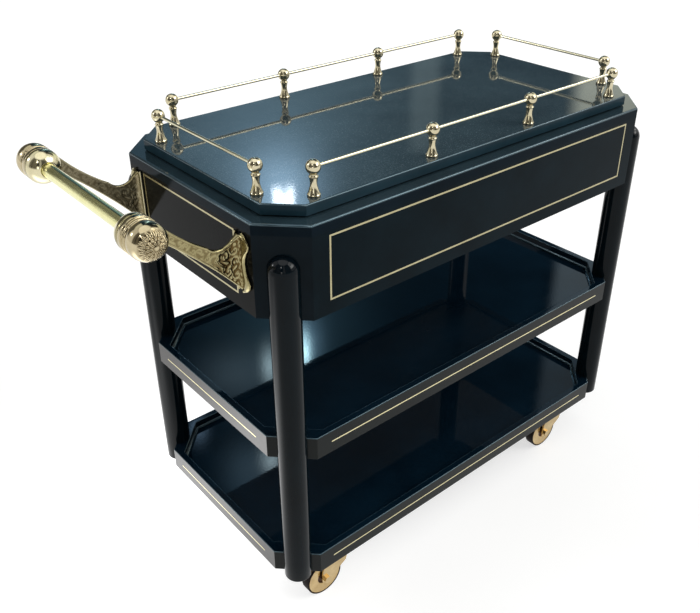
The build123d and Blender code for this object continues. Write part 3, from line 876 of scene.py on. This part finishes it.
def casting(stations):
    """Columns of points over the outer face and over the inner one, with their depths."""
    share = np.linspace(0, 1, ROWS + 1)
    outer = []
    inner = []
    outer_tarnish_and_shade = []
    inner_tarnish_and_shade = []
    for pattern, x, bulge, rim, theta in stations:
        high, low = arm_top(x), arm_low(x)
        z = high + (low - high) * share
        edge = np.minimum(share, 1 - share) * (high - low)
        slope = math.atan((arm_top(x) + arm_low(x) - arm_top(x - 1) - arm_low(x - 1)) / 2)
        edge = edge * math.cos(slope)
        rounding = 1.2 * (1 - np.clip(edge / 1.4, 0, 1)) ** 2
        border = np.exp(-((edge - 2.2) / 0.7) ** 2)
        field = np.clip((edge - 3.2) / 0.8, 0, 1)
        carved = scrollwork(np.full_like(z, pattern), z)
        rise = np.maximum(border, field * carved)
        rise = np.where(edge < 1.6, 1.0, rise)
        if rim > 0.05:
            rise = np.ones_like(z)
        elif theta > 1.35:
            rise = np.zeros_like(z)
        # Darkening mark for the brass: the ground between scrolls, and more in the flange's hollow,
        # which is painted shade
        hollow = min(max((pattern - (SWEEP - 16)) / 20, 0.0), 1.0)
        sink = (0.34 + 0.4 * hollow) * (1 - rise)
        dark = (1 - rise) * (0.60 + 0.37 * hollow)
        reach = np.array([max(ARM_IN + flange_edge(float(v)) - ARM_OUT, 0) for v in z])
        band = reach - np.minimum(6.0, 0.5 * reach)
        y = ARM_OUT + (reach - band) * bulge + band * rim
        into_x = sink * math.sin(theta)
        into_y = sink * math.cos(theta)
        outer.append([
            (x + a, b - c - r, float(h)) for a, b, c, r, h in zip(into_x, y, into_y, rounding, z)
        ])
        fillet = 5.0 * (1 - math.sqrt(max(1 - min(max((x + 12.0) / 8.0, 0.0), 1.0) ** 2, 0.0)))
        face = ARM_IN - fillet
        inner.append([(x, face + s * 0.5 + r, float(h)) for s, r, h in zip(sink, rounding, z)])
        outer_tarnish_and_shade.append(dark)
        # The inner face is darkened all over as painted shade, and more in the ground between
        # scrolls
        inner_tarnish_and_shade.append(0.40 + 0.34 * (1 - rise))
    return outer + inner, outer_tarnish_and_shade + inner_tarnish_and_shade


def shell_faces(columns):
    """Faces over both sides of the casting and round its edges."""
    size = ROWS + 1
    offset = (columns + 1) * size
    faces = []
    for i in range(columns):
        for j in range(ROWS):
            a = i * size + j
            faces.append((a, a + 1, a + size + 1, a + size))
            b = offset + a
            faces.append((b, b + size, b + size + 1, b + 1))
        a = i * size
        faces.append((a, a + size, offset + a + size, offset + a))
        a = i * size + ROWS
        faces.append((a, offset + a, offset + a + size, a + size))
    for j in range(ROWS):
        faces.append((j, offset + j, offset + j + 1, j + 1))
        a = columns * size + j
        faces.append((a, a + 1, offset + a + 1, offset + a))
    return faces


def bracket(name, side):
    def place(point):
        x, y, z = point
        outwards = bar_axis.x - EYE_X * MM + x * MM
        return Vector((outwards, side * y * MM, bar_axis.z + (z - EYE_Z) * MM))

    stations = stations_along()
    grid, marks = casting(stations)
    verts = [place(point) for column in grid for point in column]
    depth = [float(mark) for column in marks for mark in column]
    build = Builder()
    build.add(verts, shell_faces(len(stations) - 1), depth)
    # Rolled lips along the flange and along its inner edge
    outside = []
    inside = []
    for z in np.linspace(-22.6, -118.4, 80):
        outside.append((-2.25, ARM_IN + flange_edge(float(z)) - 1.0, float(z)))
        inside.append((-2.0, ARM_IN - 4.0, float(z)))
    for path, radius in ((outside, 2.2), (inside, 1.9)):
        lip = Builder()
        lip.tube(path, radius, 14)
        build.add([place((v.x / MM, v.y / MM, v.z / MM)) for v in lip.verts], lip.faces)
    # Round eye between the cup and the finial
    eye = [(0, ARM_IN + 0.05), (26.0, ARM_IN + 0.05)]
    eye += arc((26.2, ARM_IN + 0.85), 0.8, 270, 360, 3)
    eye += arc((26.2, ARM_OUT - 0.85), 0.8, 0, 90, 3)
    eye += [(0, ARM_OUT - 0.05)]
    build.lathe(eye, lying(side), 96)
    # The inner faces get their own rougher brass, which the mark above darkens as painted shade
    zones = ([INNER_BRASS], lambda polygon: 1 if polygon.normal.y * side < -0.7 else 0)
    parts = ["handle_bracket_" + name]
    build.make("bracket_" + name, ENGRAVED, "carcass", parts, 50, True, zones)


for side_name, side_sign in SIDES.items():
    bracket(side_name, side_sign)


# -------- casters
def across(centre):
    return Matrix.Translation(centre) @ Matrix.Rotation(math.radians(-90), 4, "X")


# The hollow round a wheel's hub, painted dark as shade: from one radius to the other, within a
# depth
HUB_IN = 7.3
HUB_OUT = 15.0
HUB_DEPTH = 9.0


def wheel_profile():
    side = [(4.05, 12.1), (6.9, 12.1), (7.4, 11.6), (7.4, 7.4), (7.9, 6.5), (9.0, 6.0)]
    side += [(12.6, 5.9), (13.8, 6.3), (14.6, 7.4), (15.2, 8.7), (16.0, 9.2), (18.0, 9.35)]
    side += [(24.0, 9.4), (30.0, 9.3), (32.4, 9.1), (33.3, 9.5), (34.2, 9.75), (35.1, 9.6)]
    side += [(35.7, 9.1), (35.9, 8.4)]
    other = [(r, -h) for r, h in reversed(side)]
    return side + other + [side[0]]


def tyre_profile():
    profile = [(35.95, 9.3), (36.2, 9.85), (36.6, 9.95), (37.4, 9.95)]
    profile += arc((37.4, 8.85), 1.1, 90, 0, 5)[1:]
    profile += [(38.5, 0.0)]
    other = [(r, -h) for r, h in reversed(profile[:-1])]
    return profile + other + [profile[0]]


# Edges that turn by more than this are eased, and stay sharp between the bevel's faces
SHARP = math.radians(40)


def eased_copy(name, node, width, material, body):
    """The CAD solid itself with its sharp edges softened."""
    mesh = nodes[node].data.copy()
    mesh.name = name
    build = bmesh.new()
    build.from_mesh(mesh)
    bmesh.ops.remove_doubles(build, verts=build.verts, dist=1e-6)
    bmesh.ops.dissolve_limit(
        build, angle_limit=math.radians(0.6), verts=build.verts, edges=build.edges
    )
    edges = [e for e in build.edges if len(e.link_faces) == 2 and e.calc_face_angle() > SHARP]
    bmesh.ops.bevel(
        build, geom=edges, offset=width, segments=3, profile=0.5, affect="EDGES", clamp_overlap=True
    )
    build.to_mesh(mesh)
    build.free()
    mesh.shade_smooth()
    mesh.set_sharp_from_angle(angle=SHARP)
    mesh.materials.clear()
    mesh.materials.append(material)
    weigh_normals(add_to_scene(name, mesh, body, [node]))


def caster(name):
    wheel_body, swivel_body = "caster_wheel_" + name, "caster_swivel_" + name
    tyre_low, tyre_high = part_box("caster_tyre_" + name)
    centre = (tyre_low + tyre_high) / 2
    wheel = Builder()
    wheel.lathe(wheel_profile(), across(centre), 96)

    # Faces in the hollow round the hub get the dark brass, a painted shade
    def zone(polygon):
        out = math.hypot(polygon.center.x - centre.x, polygon.center.z - centre.z) / MM
        deep = abs(polygon.center.y - centre.y) < HUB_DEPTH * MM
        return 1 if HUB_IN < out < HUB_OUT and deep else 0

    zones = ([HUB_SHADE], zone)
    parts = ["caster_wheel_" + name]
    wheel.make("wheel_" + name, CASTER_BRASS, wheel_body, parts, 35, zones=zones)
    tyre = Builder()
    tyre.lathe(tyre_profile(), across(centre), 96)
    tyre.make("tyre_" + name, TYRE, wheel_body, ["caster_tyre_" + name], 50)
    eased_copy(
        "fork_" + name, "caster_fork_" + name, 0.45 * MM, FORK_BRASS, swivel_body
    )


for corner in CORNERS:
    caster(corner)
eased_copy("caster_tops", "caster_plates", 0.4 * MM, FORK_BRASS, "carcass")


# -------- stage, light and camera
def seen(tree):
    """One for rays from the camera and for mirrored and refracted rays, else nought."""
    path = add_node(tree, "ShaderNodeLightPath")
    first = calculate(tree, "MAXIMUM", path.outputs["Is Camera Ray"], path.outputs["Is Glossy Ray"])
    return calculate(tree, "MAXIMUM", first, path.outputs["Is Transmission Ray"])


# The floor's half size, in metres
FLOOR = 14.0
# The pool of light on it: middle, spread each way and added strength, over the strength elsewhere
POOL_X, POOL_Y = -0.85, 0.20
POOL_WIDE, POOL_DEEP = 0.45, 0.19
POOL_GLOW = 2.2
FLOOR_GLOW = 0.64


def stage():
    mesh = bpy.data.meshes.new("floor")
    corners = [(-FLOOR, -FLOOR, 0), (FLOOR, -FLOOR, 0), (FLOOR, FLOOR, 0), (-FLOOR, FLOOR, 0)]
    mesh.from_pydata(corners, [], [(0, 1, 2, 3)])
    material, tree, shader = new_material("floor_paint")
    grain = place_noise(tree, scale=3.0, detail=3.0, rough=0.5)
    base = ramp(tree, grain.outputs["Fac"], [(0.3, (0.44, 0.44, 0.44)), (0.7, (0.46, 0.46, 0.46))])
    tree.links.new(base, shader.inputs["Base Color"])
    shader.inputs["Roughness"].default_value = 0.9
    shader.inputs["Specular IOR Level"].default_value = 0.0
    shader.inputs["Emission Color"].default_value = (*WHITE, 1)
    # A pool of light on the floor, left of and behind the cart
    place = add_node(tree, "ShaderNodeTexCoord")
    pool = add_node(tree, "ShaderNodeMapping")
    pool.inputs["Location"].default_value = (-POOL_X / POOL_WIDE, -POOL_Y / POOL_DEEP, 0)
    pool.inputs["Scale"].default_value = (1 / POOL_WIDE, 1 / POOL_DEEP, 1)
    tree.links.new(place.outputs["Object"], pool.inputs["Vector"])
    square = add_node(tree, "ShaderNodeVectorMath", operation="DOT_PRODUCT")
    tree.links.new(pool.outputs["Vector"], square.inputs[0])
    tree.links.new(pool.outputs["Vector"], square.inputs[1])
    bell = calculate(tree, "EXPONENT", calculate(tree, "MULTIPLY", square.outputs["Value"], -0.5))
    level = calculate(tree, "MULTIPLY_ADD", bell, POOL_GLOW, FLOOR_GLOW)
    lift = calculate(tree, "MULTIPLY", seen(tree), level)
    tree.links.new(lift, shader.inputs["Emission Strength"])
    mesh.materials.append(material)
    floor = bpy.data.objects.new("floor", mesh)
    bpy.context.scene.collection.objects.link(floor)


class Sky:
    """
    The studio round the cart, drawn by direction. Azimuth runs from +X towards +Y, and both
    azimuth and elevation are in degrees.
    """

    def __init__(self, tree):
        self.tree = tree
        place = add_node(tree, "ShaderNodeTexCoord")
        parts = add_node(tree, "ShaderNodeSeparateXYZ")
        tree.links.new(place.outputs["Generated"], parts.inputs["Vector"])
        turn = self.math("ARCTAN2", parts.outputs["Y"], parts.outputs["X"])
        rise = self.math("ARCSINE", parts.outputs["Z"])
        self.azimuth = self.math("MULTIPLY", turn, 180 / math.pi)
        self.elevation = self.math("MULTIPLY", rise, 180 / math.pi)
        self.light = None

    def math(self, operation, *values):
        return calculate(self.tree, operation, *values)

    def step(self, value, start, end):
        """Rises smoothly from nought to one between two angles, or falls where end is less."""
        node = add_node(self.tree, "ShaderNodeMapRange", interpolation_type="SMOOTHSTEP")
        node.inputs["From Min"].default_value = min(start, end)
        node.inputs["From Max"].default_value = max(start, end)
        node.inputs["To Min"].default_value = 0.0 if start < end else 1.0
        node.inputs["To Max"].default_value = 1.0 if start < end else 0.0
        self.tree.links.new(value, node.inputs["Value"])
        return node.outputs["Result"]

    def span(self, value, start, end, soft):
        """One between two angles, with soft ends."""
        rise = self.step(value, start - soft, start + soft)
        return self.math("MULTIPLY", rise, self.step(value, end + soft, end - soft))

    def box(self, left, right, low, high, soft):
        """A panel from azimuth left to right and from elevation low to high."""
        wide = self.span(self.azimuth, left, right, soft)
        return self.math("MULTIPLY", wide, self.span(self.elevation, low, high, soft))

    def glow(self, azimuth, elevation, wide, tall):
        """A bell of light round a direction, with its spread each way."""
        x = self.math("DIVIDE", self.math("SUBTRACT", self.azimuth, azimuth), wide)
        y = self.math("DIVIDE", self.math("SUBTRACT", self.elevation, elevation), tall)
        square = self.math("ADD", self.math("MULTIPLY", x, x), self.math("MULTIPLY", y, y))
        return self.math("EXPONENT", self.math("MULTIPLY", square, -0.5))

    def put(self, shape, color):
        """Adds light of a colour in a shape."""
        node = add_node(self.tree, "ShaderNodeVectorMath", operation="SCALE")
        node.inputs[0].default_value = color
        self.tree.links.new(shape, node.inputs["Scale"])
        light = node.outputs["Vector"]
        if self.light is not None:
            total = add_node(self.tree, "ShaderNodeVectorMath", operation="ADD")
            self.tree.links.new(self.light, total.inputs[0])
            self.tree.links.new(light, total.inputs[1])
            light = total.outputs["Vector"]
        self.light = light


def world():
    studio = bpy.data.worlds.new("studio")
    bpy.context.scene.world = studio
    studio.use_nodes = True
    tree = studio.node_tree
    tree.nodes.clear()
    sky = Sky(tree)
    # Surroundings below the horizon and overhead
    below = sky.step(sky.elevation, 3.0, -1.0)
    sky.put(below, (0.95, 0.95, 0.95))
    sky.put(sky.step(sky.elevation, 56.0, 64.0), (1.40, 1.40, 1.38))
    # Key softbox in front on the right, and the fainter wall beside it
    sky.put(sky.box(-68.0, -20.0, 6.0, 22.0, 2.5), (0.75, 0.74, 0.72))
    sky.put(sky.box(-68.0, -20.0, 22.0, 58.0, 2.5), (2.70, 2.66, 2.58))
    sky.put(sky.box(-62.0, -35.0, 23.0, 37.0, 2.5), (4.60, 4.55, 4.45))
    sky.put(sky.box(-20.0, 11.0, 3.0, 58.0, 2.5), (1.00, 1.00, 0.98))
    sky.put(sky.box(11.0, 34.5, 3.0, 22.5, 0.7), (1.05, 1.10, 0.92))
    sky.put(sky.box(28.0, 34.2, 25.0, 33.5, 0.5), (0.44, 0.56, 0.64))
    sky.put(sky.box(28.0, 34.2, 33.5, 39.0, 0.5), (0.24, 0.31, 0.36))
    # Dark right back with the window
    sky.put(sky.box(34.5, 76.0, 1.0, 26.0, 1.0), (0.03, 0.06, 0.09))
    sky.put(sky.box(34.5, 76.0, 26.0, 58.0, 1.0), (0.012, 0.03, 0.05))
    sky.put(sky.box(43.8, 45.7, 7.0, 21.0, 0.5), (0.16, 0.20, 0.20))
    sky.put(sky.glow(56.0, 14.0, 6.5, 8.0), (0.12, 0.20, 0.24))
    sky.put(sky.glow(57.0, 22.0, 4.8, 4.0), (0.24, 0.42, 0.58))
    sky.put(sky.glow(55.2, 24.2, 1.9, 2.0), (1.48, 2.35, 3.25))
    notch = sky.math("SUBTRACT", 1.0, sky.glow(54.95, 23.45, 0.16, 0.32))
    sky.put(sky.math("MULTIPLY", sky.box(54.2, 55.8, 23.5, 24.8, 0.15), notch), (9.0, 10.0, 11.0))
    sky.put(sky.box(54.2, 55.6, 24.8, 26.2, 0.3), (1.60, 2.40, 2.90))
    sky.put(sky.glow(53.9, 34.2, 0.9, 1.3), (0.90, 1.70, 2.40))
    sky.put(sky.glow(53.85, 34.8, 0.28, 0.8), (10.0, 16.0, 18.0))
    sky.put(sky.glow(56.8, 35.6, 0.45, 0.8), (2.90, 4.00, 4.40))
    sky.put(sky.glow(59.5, 36.0, 2.2, 1.3), (0.35, 0.50, 0.60))
    sky.put(sky.glow(54.5, 33.5, 3.5, 3.0), (0.12, 0.28, 0.38))
    sky.put(sky.glow(57.2, 41.8, 0.6, 0.6), (3.20, 4.20, 4.60))
    sky.put(sky.glow(59.2, 42.4, 1.6, 1.4), (0.36, 0.60, 0.80))
    sky.put(sky.glow(63.3, 39.2, 0.5, 0.6), (0.80, 1.30, 1.90))
    # Small bare lamps, seen in the leg tops and the balls
    for azimuth, elevation in ((135.0, 25.6), (-145.0, 46.0), (-18.0, 34.0)):
        sky.put(sky.glow(azimuth, elevation, 2.6, 2.6), (17.0, 17.0, 17.0))
    # Dim back, pale left back, brown left, and the left front
    sky.put(sky.box(76.0, 119.0, 1.0, 38.0, 3.0), (0.13, 0.13, 0.11))
    sky.put(sky.box(76.0, 119.0, 38.0, 58.0, 3.0), (0.90, 0.92, 0.86))
    sky.put(sky.box(119.0, 160.0, 1.0, 58.0, 3.0), (0.90, 0.90, 0.90))
    sky.put(sky.box(160.0, 178.0, 1.0, 58.0, 2.0), (0.16, 0.15, 0.13))
    sky.put(sky.box(-178.0, -146.0, 1.0, 58.0, 2.0), (0.16, 0.15, 0.13))
    sky.put(sky.box(-143.0, -133.0, 2.0, 16.0, 1.5), (3.00, 2.95, 2.85))
    sky.put(sky.box(-128.0, -112.0, 1.0, 58.0, 3.0), (0.50, 0.50, 0.48))
    sky.put(sky.box(-112.0, -70.0, 1.0, 58.0, 3.0), (0.10, 0.10, 0.09))
    # White for the camera, through clear things, and where a mirror sees below the horizon
    path = add_node(tree, "ShaderNodeLightPath")
    pale = sky.math("MAXIMUM", path.outputs["Is Camera Ray"], path.outputs["Is Transmission Ray"])
    low = sky.math("MULTIPLY", path.outputs["Is Glossy Ray"], below)
    white = sky.math("MAXIMUM", pale, low)
    background = tree.nodes.new("ShaderNodeBackground")
    output = tree.nodes.new("ShaderNodeOutputWorld")
    tree.links.new(mix_towards(tree, white, sky.light, WHITE), background.inputs["Color"])
    tree.links.new(background.outputs["Background"], output.inputs["Surface"])


# The photograph's camera, solved from the corners of the case: place in metres, degrees, mm
CAMERA_PLACE = (-0.9159, -1.0559, 1.2926)
CAMERA_AZIMUTH = -40.22
CAMERA_ELEVATION = 30.24
CAMERA_ROLL = -0.08
CAMERA_LENS = 42.81
CAMERA_SHIFT = (-0.0050, -0.0301)


def camera():
    data = bpy.data.cameras.new("camera")
    shape = bpy.data.objects.new("camera", data)
    bpy.context.scene.collection.objects.link(shape)
    azimuth, elevation = math.radians(CAMERA_AZIMUTH), math.radians(CAMERA_ELEVATION)
    roll = math.radians(CAMERA_ROLL)
    level = math.cos(elevation)
    back = Vector((math.sin(azimuth) * level, -math.cos(azimuth) * level, math.sin(elevation)))
    flat = Vector((math.cos(azimuth), math.sin(azimuth), 0))
    upright = back.cross(flat)
    right = flat * math.cos(roll) + upright * math.sin(roll)
    up = upright * math.cos(roll) - flat * math.sin(roll)
    turn = Matrix((right, up, back)).transposed().to_4x4()
    shape.matrix_world = Matrix.Translation(CAMERA_PLACE) @ turn
    data.sensor_width = 36.0
    data.lens = CAMERA_LENS
    data.shift_x, data.shift_y = CAMERA_SHIFT
    data.clip_start = 0.01
    bpy.context.scene.camera = shape


stage()
world()
camera()

scene = bpy.context.scene
scene.view_settings.view_transform = "Standard"
